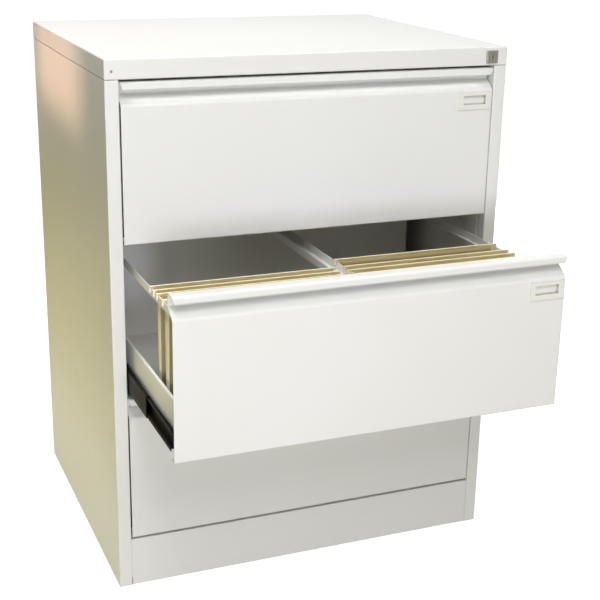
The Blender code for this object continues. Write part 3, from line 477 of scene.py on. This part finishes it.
def card_column(section, middle, across, sizes):
    """One upright column of the card's points, from -1 at its left end to 1 at its right: bellied and rippled."""
    belly = sizes.bow * (1 - END_FLATNESS * across ** 2)
    spots = []
    for y, z, give, _ in section:
        wave = sin(RIPPLE_ALONG * across + RIPPLE_BACK * y)
        cross = CROSS_DEPTH * sin(CROSS_ALONG * across + CROSS_UP * z)
        bulge = give * belly + abs(give) * sizes.ripple * (wave + cross)
        spots.append(Vector((middle + across * sizes.card_width / 2, y + bulge, z)))
    return spots


def folded_card(low, high, sizes):
    """The pocket of one file: a card folded up from a scored base to its two bars."""
    section = file_section(low, high, sizes)
    shape = bmesh.new()
    rub_and_highlight = shape.verts.layers.float.new(RUB_AND_HIGHLIGHT_LAYER)
    columns = []
    for column in range(CARD_COLUMNS + 1):
        spots = card_column(section, (low[0] + high[0]) / 2, 2 * column / CARD_COLUMNS - 1, sizes)
        line = [shape.verts.new(spot) for spot in spots]
        for vert, (_, _, _, rub_and_highlight_share) in zip(line, section):
            vert[rub_and_highlight] = rub_and_highlight_share
        columns.append(line)
    for left, right in zip(columns, columns[1:]):
        for row in range(len(section) - 1):
            shape.faces.new((left[row], right[row], right[row + 1], left[row + 1]))
    bmesh.ops.recalc_face_normals(shape, faces=shape.faces)
    return shape


def end_gusset(shape, low, high, side, sizes):
    """Adds the paper that closes one end of a pocket, pleated inwards between its two walls."""
    spots = card_column(file_section(low, high, sizes), (low[0] + high[0]) / 2, side, sizes)
    rows = []
    for front, rear in zip(spots[1:], spots[-2:0:-1]):
        if front.y >= rear.y:
            break
        front, rear = (spot - Vector((side * sizes.gusset_inset, 0, 0)) for spot in (front, rear))
        pleat = (front + rear) / 2 - Vector((side * sizes.gusset_fold, 0, 0))
        rows.append([shape.verts.new(spot) for spot in (front, pleat, rear)])
    for upper, lower in zip(rows, rows[1:]):
        for at in (0, 1):
            shape.faces.new((upper[at], upper[at + 1], lower[at + 1], lower[at]))


class CABINET_OT_hang_cards(bpy.types.Operator):
    """Fold the card pockets of the hanging files"""
    bl_idname = "cabinet.hang_cards"
    bl_label = "Fold the Card Pockets"

    def execute(self, context):
        sizes = context.scene.cabinet_files
        card = finish_named("calendered_manila", calendered_manila)
        for name in FILES:
            low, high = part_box(name)
            piece = new_piece(f"{name}_card", folded_card(low, high, sizes), card)
            thicken(piece, "card_thickness", sizes.card_thickness)
            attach(piece, "middle_drawer")
            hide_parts(name)
        return {"FINISHED"}


class CABINET_OT_close_pockets(bpy.types.Operator):
    """Close the ends of the card pockets with pleated paper"""
    bl_idname = "cabinet.close_pockets"
    bl_label = "Close the Pockets' Ends"

    def execute(self, context):
        sizes = context.scene.cabinet_files
        shape = bmesh.new()
        for name in FILES:
            for side in (-1, 1):
                end_gusset(shape, *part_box(name), side, sizes)
        bmesh.ops.recalc_face_normals(shape, faces=shape.faces)
        piece = new_piece("pocket_gussets", shape, finish_named("gusset_paper", gusset_paper), PLEAT_ANGLE)
        thicken(piece, "paper_thickness", sizes.gusset_thickness)
        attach(piece, "middle_drawer")
        return {"FINISHED"}


BAR_EDGE_STEPS = 3


def hanger_bar(shape, middle, y, top, sizes):
    """Adds one bar with a hook cut in each end, which drops over the rails."""
    half = [(sizes.hook_shoulder, -sizes.bar_height), (sizes.hook_shoulder, -sizes.hook_roof),
            (sizes.hook_notch, -sizes.hook_roof), (sizes.hook_notch, -sizes.hook_drop),
            (sizes.hook_tip, -sizes.hook_drop), (sizes.hook_tip, -sizes.hook_corner),
            (sizes.hook_tip - sizes.hook_corner, 0)]
    outline = half + [(-x, z) for x, z in reversed(half)]
    front, rear = ([shape.verts.new((middle + x, y + side * sizes.bar_thickness / 2, top + z)) for x, z in outline]
                   for side in (-1, 1))
    shape.faces.new(front)
    shape.faces.new(rear)
    for at in range(len(outline)):
        shape.faces.new((front[at - 1], front[at], rear[at], rear[at - 1]))


def bar_places(sizes):
    """Gives the row's middle, the distance back and the top of every hanger bar."""
    places = []
    for name in FILES:
        low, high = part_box(name)
        for y in (low[1] + sizes.bar_thickness / 2, high[1] - sizes.bar_thickness / 2):
            places.append(((low[0] + high[0]) / 2, y, high[2]))
    return places


class CABINET_OT_hang_bars(bpy.types.Operator):
    """Make the hanger bars along the files' top edges"""
    bl_idname = "cabinet.hang_bars"
    bl_label = "Make the Hanger Bars"

    def execute(self, context):
        sizes = context.scene.cabinet_files
        shape = bmesh.new()
        for middle, y, top in bar_places(sizes):
            hanger_bar(shape, middle, y, top, sizes)
        bmesh.ops.recalc_face_normals(shape, faces=shape.faces)
        piece = new_piece("hanger_bars", shape, finish_named("lacquered_bar_steel", lacquered_bar_steel))
        edge = piece.modifiers.new("rolled_edge", "BEVEL")
        edge.width = sizes.bar_edge
        edge.segments = BAR_EDGE_STEPS
        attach(piece, "middle_drawer")
        return {"FINISHED"}


def new_set_out(name, sizes):
    """Starts geometry nodes that set one shape on many points, and gives the tree and what it is given."""
    tree = bpy.data.node_groups.new(name, "GeometryNodeTree")
    tree.interface.new_socket("Places", in_out="INPUT", socket_type="NodeSocketGeometry")
    for size in sizes:
        tree.interface.new_socket(size, in_out="INPUT", socket_type="NodeSocketFloat")
    tree.interface.new_socket("Pieces", in_out="OUTPUT", socket_type="NodeSocketGeometry")
    return tree, add_node(tree, "NodeGroupInput").outputs


def end_set_out(tree, given, shape, material, links=None):
    """Ends such nodes: the shape on every point, made real, smooth and finished."""
    points = add_node(tree, "GeometryNodeMeshToPoints", {"Mesh": given["Places"]})
    each = add_node(tree, "GeometryNodeInstanceOnPoints",
                    {"Points": points.outputs["Points"], "Instance": shape, **(links or {})})
    real = add_node(tree, "GeometryNodeRealizeInstances", {"Geometry": each.outputs["Instances"]})
    smooth = add_node(tree, "GeometryNodeSetShadeSmooth", {"Geometry": real.outputs["Geometry"]})
    finish = add_node(tree, "GeometryNodeSetMaterial", {"Geometry": smooth.outputs["Geometry"]},
                      {"Material": material})
    add_node(tree, "NodeGroupOutput", {"Pieces": finish.outputs["Geometry"]})
    return tree


RIVET_SIDES = 20
# The share of a rivet's rise that its sloping flange takes up.
RIVET_SKIRT = 0.4
# How often a hook cap's block is rounded, and how much its edges hold out against that.
CAP_ROUNDS, CAP_CREASE = 3, 0.72


def rivet_tree(material):
    """Geometry nodes for flanged dome rivets that face away from the cabinet's middle."""
    tree, given = new_set_out("dome_rivets", ("Head", "Flange", "Rise"))
    skirt = add_node(tree, "ShaderNodeMath", {0: given["Rise"]}, {1: RIVET_SKIRT}, operation="MULTIPLY")
    disc = add_node(tree, "GeometryNodeMeshCone",
                    {"Radius Top": given["Head"], "Radius Bottom": given["Flange"], "Depth": skirt.outputs[0]},
                    {"Vertices": RIVET_SIDES})
    ball = add_node(tree, "GeometryNodeMeshUVSphere",
                    values={"Segments": RIVET_SIDES, "Rings": RIVET_SIDES // 2, "Radius": 1.0})
    girth = add_node(tree, "ShaderNodeCombineXYZ", {"X": given["Head"], "Y": given["Head"], "Z": given["Rise"]})
    dome = add_node(tree, "GeometryNodeTransform", {"Geometry": ball.outputs["Mesh"], "Scale": girth.outputs[0]})
    rivet = add_node(tree, "GeometryNodeJoinGeometry", {"Geometry": disc.outputs["Mesh"]})
    tree.links.new(dome.outputs["Geometry"], rivet.inputs["Geometry"])
    spot = add_node(tree, "GeometryNodeInputPosition")
    away = add_node(tree, "ShaderNodeVectorMath", {0: spot.outputs[0]}, {1: (1, 0, 0)}, operation="MULTIPLY")
    facing = add_node(tree, "FunctionNodeAlignRotationToVector", {"Vector": away.outputs[0]}, axis="Z")
    return end_set_out(tree, given, rivet.outputs["Geometry"], material, {"Rotation": facing.outputs["Rotation"]})


def hook_cap_tree(material):
    """Geometry nodes for the rounded caps on the hanger bars' hooks."""
    tree, given = new_set_out("hook_caps", ("Width", "Depth", "Height"))
    girth = add_node(tree, "ShaderNodeCombineXYZ", {"X": given["Width"], "Y": given["Depth"], "Z": given["Height"]})
    block = add_node(tree, "GeometryNodeMeshCube", {"Size": girth.outputs[0]})
    cap = add_node(tree, "GeometryNodeSubdivisionSurface", {"Mesh": block.outputs["Mesh"]},
                   {"Level": CAP_ROUNDS, "Edge Crease": CAP_CREASE})
    return end_set_out(tree, given, cap.outputs["Mesh"], material)


def set_out(name, places, tree, sizes):
    """Runs such nodes on a list of places, and keeps the result as a plain mesh."""
    mesh = bpy.data.meshes.new(f"{name}_places")
    mesh.from_pydata(places, [], [])
    piece = bpy.data.objects.new(name, mesh)
    bpy.context.scene.collection.objects.link(piece)
    nodes = piece.modifiers.new(tree.name, "NODES")
    nodes.node_group = tree
    for socket in tree.interface.items_tree:
        if socket.in_out == "INPUT" and socket.name in sizes:
            nodes[socket.identifier] = sizes[socket.name]
    evaluated = piece.evaluated_get(bpy.context.evaluated_depsgraph_get())
    made = bpy.data.meshes.new_from_object(evaluated)
    piece.modifiers.clear()
    piece.data = made
    if not made.polygons:
        raise RuntimeError(f"nothing was set out for {name}")
    return piece


class CABINET_OT_cap_hooks(bpy.types.Operator):
    """Put the moulded caps on the hanger bars' hooks"""
    bl_idname = "cabinet.cap_hooks"
    bl_label = "Cap the Hooks"

    def execute(self, context):
        sizes = context.scene.cabinet_files
        tree = hook_cap_tree(finish_named("moulded_hook_nylon", moulded_hook_nylon))
        reach = (sizes.hook_notch + sizes.hook_tip) / 2
        height = sizes.hook_drop - sizes.hook_roof
        places = []
        for middle, y, top in bar_places(sizes):
            for side in (-1, 1):
                places.append((middle + side * reach, y, top - sizes.hook_drop + height / 2))
        piece = set_out("hook_caps", places, tree, {
            "Width": sizes.hook_tip - sizes.hook_notch + 2 * sizes.cap_wall,
            "Depth": sizes.bar_thickness + 2 * sizes.cap_wall,
            "Height": height + 2 * sizes.cap_wall,
        })
        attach(piece, "middle_drawer")
        return {"FINISHED"}


class CABINET_OT_set_rivets(bpy.types.Operator):
    """Set the rivets that hold the slides' inner members to the trays"""
    bl_idname = "cabinet.set_rivets"
    bl_label = "Set the Slide Rivets"

    def execute(self, context):
        sizes = context.scene.cabinet_rivets
        tree = rivet_tree(finish_named("dipped_slide_steel", dipped_slide_steel))
        for drawer in DRAWERS:
            places = []
            for hand, side in (("left", -1), ("right", 1)):
                low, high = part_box(f"{drawer}_slide_inner_{hand}")
                for step in range(sizes.count):
                    y = low[1] + (high[1] - low[1]) * (step + 0.5) / sizes.count
                    places.append((side * sizes.seat, y, (low[2] + high[2]) / 2))
            piece = set_out(f"{drawer}_slide_rivets", places, tree,
                            {"Head": sizes.head, "Flange": sizes.flange, "Rise": sizes.rise})
            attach(piece, f"{drawer}_drawer")
        return {"FINISHED"}


TURNED_STEPS = 64
# The share of the collar's rise by which its edges are eased.
COLLAR_EASE = 0.4
# The cover's rivet: radii of its pin and crown as shares of its rim, and depths below the cover's face.
PIN_SHARE, CROWN_SHARE = 0.45, 0.7
FOOT_DEPTH, PIN_DEPTH, LIP_DEPTH, CROWN_DEPTH, RIM_DEPTH = 0.85 * MM, 0.6 * MM, 0.25 * MM, 0.2 * MM, 0.45 * MM


def turned(section, centre):
    """Turns a section of (radius, depth) points about a line that runs from front to back."""
    shape = bmesh.new()
    ways = [2 * pi * step / TURNED_STEPS for step in range(TURNED_STEPS)]
    rings = []
    for radius, depth in section:
        spots = [centre + Vector((radius * cos(way), depth, radius * sin(way))) for way in ways]
        # A point on the axis is its whole ring, so the faces that meet there have three corners, or none at all.
        rings.append([shape.verts.new(spot) for spot in spots] if radius else [shape.verts.new(spots[0])] * len(ways))
    for inner, outer in zip(rings, rings[1:] + rings[:1]):
        for step in range(TURNED_STEPS):
            corners = list(dict.fromkeys((inner[step - 1], inner[step], outer[step], outer[step - 1])))
            if len(corners) > 2:
                shape.faces.new(corners)
    bmesh.ops.recalc_face_normals(shape, faces=shape.faces)
    return shape


class CABINET_OT_turn_collar(bpy.types.Operator):
    """Turn the collar that rings the lock's plug"""
    bl_idname = "cabinet.turn_collar"
    bl_label = "Turn the Lock Collar"

    def execute(self, context):
        sizes = context.scene.cabinet_lock
        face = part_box("lock_housing")[0][1]
        low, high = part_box("lock_cylinder")
        centre = Vector(((low[0] + high[0]) / 2, face, (low[2] + high[2]) / 2))
        ease = sizes.rise * COLLAR_EASE
        section = [(sizes.bore, sizes.seat), (sizes.bore, ease - sizes.rise), (sizes.bore + ease, -sizes.rise),
                   (sizes.rim - 2 * ease, -sizes.rise), (sizes.rim, ease - sizes.rise), (sizes.rim, sizes.seat)]
        nickel = finish_named("nickelled_die_casting", nickelled_die_casting)
        piece = new_piece("lock_collar", turned(section, centre), nickel)
        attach(piece, "carcass")
        return {"FINISHED"}


class CABINET_OT_fill_hole(bpy.types.Operator):
    """Set the blind rivet in the small hole of the cover's front"""
    bl_idname = "cabinet.fill_hole"
    bl_label = "Set the Cover Rivet"

    def execute(self, context):
        sizes = context.scene.cabinet_rivets
        low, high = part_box("top_cover")
        centre = Vector((low[0] + sizes.cover_inset, low[1], high[2] - sizes.cover_drop))
        rim, pin = sizes.cover_radius, sizes.cover_radius * PIN_SHARE
        section = [(0, FOOT_DEPTH), (0, PIN_DEPTH), (pin, PIN_DEPTH), (pin, LIP_DEPTH),
                   (rim * CROWN_SHARE, CROWN_DEPTH), (rim, RIM_DEPTH), (rim, FOOT_DEPTH)]
        nickel = finish_named("nickelled_die_casting", nickelled_die_casting)
        piece = new_piece("cover_rivet", turned(section, centre), nickel)
        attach(piece, "carcass")
        return {"FINISHED"}


FLOOR_REACH = 20.0
FLOOR_CELLS = 4
FLOOR_SEEN = (0.4, 0.4, 0.4)
# Close to the cabinet the floor adds a little less light, so that its shadow still shows: distances and strengths.
SHADOW_REACH, SHADOW_LIGHT = (0.6, 1.6), (0.88, 1.0)
BOARD_CORNERS = ((-0.6, -0.1, 0.005), (-0.6, 3.2, 0.005), (-1.7, 3.2, 0.95), (-1.7, -0.1, 0.95))
# Where the surroundings give light, and how far a direction has to lean that way for none of it and for all of it.
BEHIND_RIGHT, AMBIENT_LEAN = (0.8, 0.6, 0.0), (0.15, 0.6)
WHITE = (1.0, 1.0, 1.0)
SENSOR_WIDTH = 36
CLIP_END = 100

# Soft panels: place, the point that each faces, width and height, spread, and the settings of its power and colour.
# The strip light's small spread keeps it in a narrow beam.
PANELS = {
    "main_panel": ((-0.4, -2.9, 3.1), (0, -0.1, 0.6), (1.8, 1.8), pi, "main_power", "main_colour"),
    "high_panel": ((-0.4, -2.0, 3.4), (0, -0.1, 0.6), (1.6, 1.2), pi, "high_power", "main_colour"),
    "ceiling_panel": ((-0.45, 0.1, 3.2), (-0.1, 0.1, 0.9), (0.8, 1.6), pi, "ceiling_power", "main_colour"),
    "fill_panel": ((-1.1, -3.8, 0.5), (0, -0.2, 0.45), (0.8, 0.9), pi, "fill_power", "fill_colour"),
    "left_panel": ((-2.2, -3.8, 0.5), (0, -0.2, 0.45), (1.2, 0.9), pi, "left_power", "left_colour"),
    "low_panel": ((-0.9, 0.2, 0.4), (-0.39, 0.2, 0.12), (1.2, 0.12), pi, "low_power", "low_colour"),
    "rear_panel": ((1.8, 2.4, 0.6), (0, 0, 0.5), (2.0, 0.7), pi, "rear_power", "main_colour"),
    "grip_panel": ((0, -0.73, 1.755), (0, -0.162, 0.9285), (0.68, 0.008), radians(1.2), "grip_power", "main_colour"),
}
# Rows of spots: place and faced point as (x, z), each one's y, beam, radius of the lamp, and the same two settings.
SPOTS = {
    "glow_spot": ((-2.4, 1.1), (-0.39, 0.935), (0.08, 0.18, 0.28, 0.38), radians(3.4), 0.1,
                  "glow_power", "glow_colour"),
    "rim_spot": ((-0.72, 1.6), (-0.345, 0.52), (-0.38, -0.29), radians(9), 0.03, "rim_power", "main_colour"),
}


def seen_rays(tree):
    """Tells the rays that show the background: the camera's own, and those by way of gloss or glass."""
    ray = add_node(tree, "ShaderNodeLightPath").outputs
    direct = add_node(tree, "ShaderNodeMath", {0: ray["Is Camera Ray"], 1: ray["Is Glossy Ray"]}, operation="MAXIMUM")
    return add_node(tree, "ShaderNodeMath", {0: direct.outputs[0], 1: ray["Is Transmission Ray"]},
                    operation="MAXIMUM").outputs[0]


def bare_material(name):
    """Starts a material of the stage, and gives its empty tree."""
    material = bpy.data.materials.new(name)
    material.use_nodes = True
    material.node_tree.nodes.clear()
    return material, material.node_tree


def lay_floor(settings):
    """Lays a pale floor that shows white to the camera and to reflections, and keeps the cabinet's shadow."""
    material, tree = bare_material("painted_studio_floor")
    pale = add_node(tree, "ShaderNodeBsdfDiffuse", values={"Color": opaque(settings.floor_colour)})
    seen = add_node(tree, "ShaderNodeBsdfDiffuse", values={"Color": opaque(FLOOR_SEEN)})
    place = add_node(tree, "ShaderNodeTexCoord").outputs["Object"]
    away = add_node(tree, "ShaderNodeVectorMath", {0: place}, operation="LENGTH").outputs["Value"]
    glow = add_node(tree, "ShaderNodeEmission", {"Strength": ranged(tree, away, SHADOW_REACH, SHADOW_LIGHT)})
    white = add_node(tree, "ShaderNodeAddShader", {0: seen.outputs[0], 1: glow.outputs[0]})
    mix = add_node(tree, "ShaderNodeMixShader", {0: seen_rays(tree), 1: pale.outputs[0], 2: white.outputs[0]})
    add_node(tree, "ShaderNodeOutputMaterial", {"Surface": mix.outputs[0]})
    shape = bmesh.new()
    bmesh.ops.create_grid(shape, x_segments=FLOOR_CELLS, y_segments=FLOOR_CELLS, size=FLOOR_REACH)
    floor = new_piece("studio_floor", shape, material)


def lean_board(settings):
    """Leans a matt board at the cabinet's left, out of the picture: its tone shows in the painted side."""
    material, tree = bare_material("matt_studio_board")
    matt = add_node(tree, "ShaderNodeBsdfDiffuse", values={"Color": opaque(settings.board_colour)})
    add_node(tree, "ShaderNodeOutputMaterial", {"Surface": matt.outputs[0]})
    shape = bmesh.new()
    shape.faces.new([shape.verts.new(corner) for corner in BOARD_CORNERS])
    board = new_piece("side_board", shape, material)
    board.visible_camera = False
    board.visible_shadow = False


def white_world(settings):
    """Makes surroundings that show white, and that light the cabinet from behind and from the right alone."""
    world = bpy.data.worlds.new("white_studio")
    world.use_nodes = True
    tree = world.node_tree
    tree.nodes.clear()
    way = add_node(tree, "ShaderNodeTexCoord").outputs["Generated"]
    lean = add_node(tree, "ShaderNodeVectorMath", {0: way}, {1: BEHIND_RIGHT}, operation="DOT_PRODUCT")
    strength = ranged(tree, lean.outputs["Value"], AMBIENT_LEAN, (0.0, settings.ambient))
    around = add_node(tree, "ShaderNodeBackground", {"Strength": strength}, {"Color": opaque(settings.ambient_colour)})
    white = add_node(tree, "ShaderNodeBackground", values={"Color": opaque(WHITE), "Strength": 1.0})
    mix = add_node(tree, "ShaderNodeMixShader", {0: seen_rays(tree), 1: around.outputs[0], 2: white.outputs[0]})
    add_node(tree, "ShaderNodeOutputWorld", {"Surface": mix.outputs[0]})
    return world


def hang_light(name, kind, place, target, **settings):
    """Hangs one light with its settings, turned towards a point and out of the camera's sight."""
    light = bpy.data.lights.new(name, kind)
    for setting, value in settings.items():
        setattr(light, setting, value)
    holder = bpy.data.objects.new(name, light)
    holder.location = place
    holder.rotation_euler = (Vector(target) - Vector(place)).to_track_quat("-Z", "Y").to_euler()
    holder.visible_camera = False
    bpy.context.scene.collection.objects.link(holder)


def hang_lights(settings):
    """Hangs the soft panels and the rows of soft-edged spots."""
    for name, (place, target, (width, height), spread, power, colour) in PANELS.items():
        hang_light(name, "AREA", place, target, shape="RECTANGLE", size=width, size_y=height, spread=spread,
                   energy=getattr(settings, power), color=getattr(settings, colour))
    for name, (place, target, row, beam, radius, power, colour) in SPOTS.items():
        for y in row:
            hang_light(name, "SPOT", (place[0], y, place[1]), (target[0], y, target[1]), spot_size=beam,
                       spot_blend=1.0, shadow_soft_size=radius, energy=getattr(settings, power),
                       color=getattr(settings, colour))


def stand_camera(settings):
    """Stands the camera at the front left, a little above the cabinet's top, and gives it."""
    lens = bpy.data.cameras.new("camera")
    lens.lens = settings.lens
    lens.sensor_width = SENSOR_WIDTH
    lens.clip_end = CLIP_END
    camera = bpy.data.objects.new("camera", lens)
    camera.location = settings.camera_place
    camera.rotation_euler = settings.camera_turn
    bpy.context.scene.collection.objects.link(camera)
    return camera


class CABINET_OT_set_stage(bpy.types.Operator):
    """Set up the white studio: floor, board, surroundings, lights and the camera"""
    bl_idname = "cabinet.set_stage"
    bl_label = "Set the Stage"

    def execute(self, context):
        scene = context.scene
        settings = scene.cabinet_studio
        scene.view_settings.view_transform = "Standard"
        lay_floor(settings)
        lean_board(settings)
        scene.world = white_world(settings)
        hang_lights(settings)
        scene.camera = stand_camera(settings)
        return {"FINISHED"}


class CABINET_PT_sidebar(bpy.types.Panel):
    """Lists the steps that dress the cabinet"""
    bl_label = "Filing Cabinet"
    bl_idname = "CABINET_PT_sidebar"
    bl_space_type = "VIEW_3D"
    bl_region_type = "UI"
    bl_category = "Cabinet"

    def draw(self, context):
        for step in STEPS:
            self.layout.operator(step.bl_idname)


SETTINGS = {
    "cabinet_finishes": CabinetFinishes,
    "cabinet_files": FileSizes,
    "cabinet_rivets": RivetSizes,
    "cabinet_lock": LockSizes,
    "cabinet_studio": StudioSettings,
}
STEPS = (CABINET_OT_set_stage, CABINET_OT_finish_steel, CABINET_OT_hang_cards, CABINET_OT_close_pockets,
         CABINET_OT_hang_bars, CABINET_OT_cap_hooks, CABINET_OT_set_rivets, CABINET_OT_turn_collar,
         CABINET_OT_fill_hole)


def register():
    """Registers the settings, the steps and the panel."""
    for name, group in SETTINGS.items():
        bpy.utils.register_class(group)
        setattr(bpy.types.Scene, name, PointerProperty(type=group))
    for step in STEPS:
        bpy.utils.register_class(step)
    bpy.utils.register_class(CABINET_PT_sidebar)


def unregister():
    """Removes the panel, the steps and the settings."""
    bpy.utils.unregister_class(CABINET_PT_sidebar)
    for step in reversed(STEPS):
        bpy.utils.unregister_class(step)
    for name, group in SETTINGS.items():
        delattr(bpy.types.Scene, name)
        bpy.utils.unregister_class(group)


def main():
    """Dresses the cabinet step by step."""
    register()
    bpy.ops.cabinet.set_stage()
    bpy.ops.cabinet.finish_steel()
    bpy.ops.cabinet.hang_cards()
    bpy.ops.cabinet.close_pockets()
    bpy.ops.cabinet.hang_bars()
    bpy.ops.cabinet.cap_hooks()
    bpy.ops.cabinet.set_rivets()
    bpy.ops.cabinet.turn_collar()
    bpy.ops.cabinet.fill_hole()


if __name__ == "__main__":
    main()
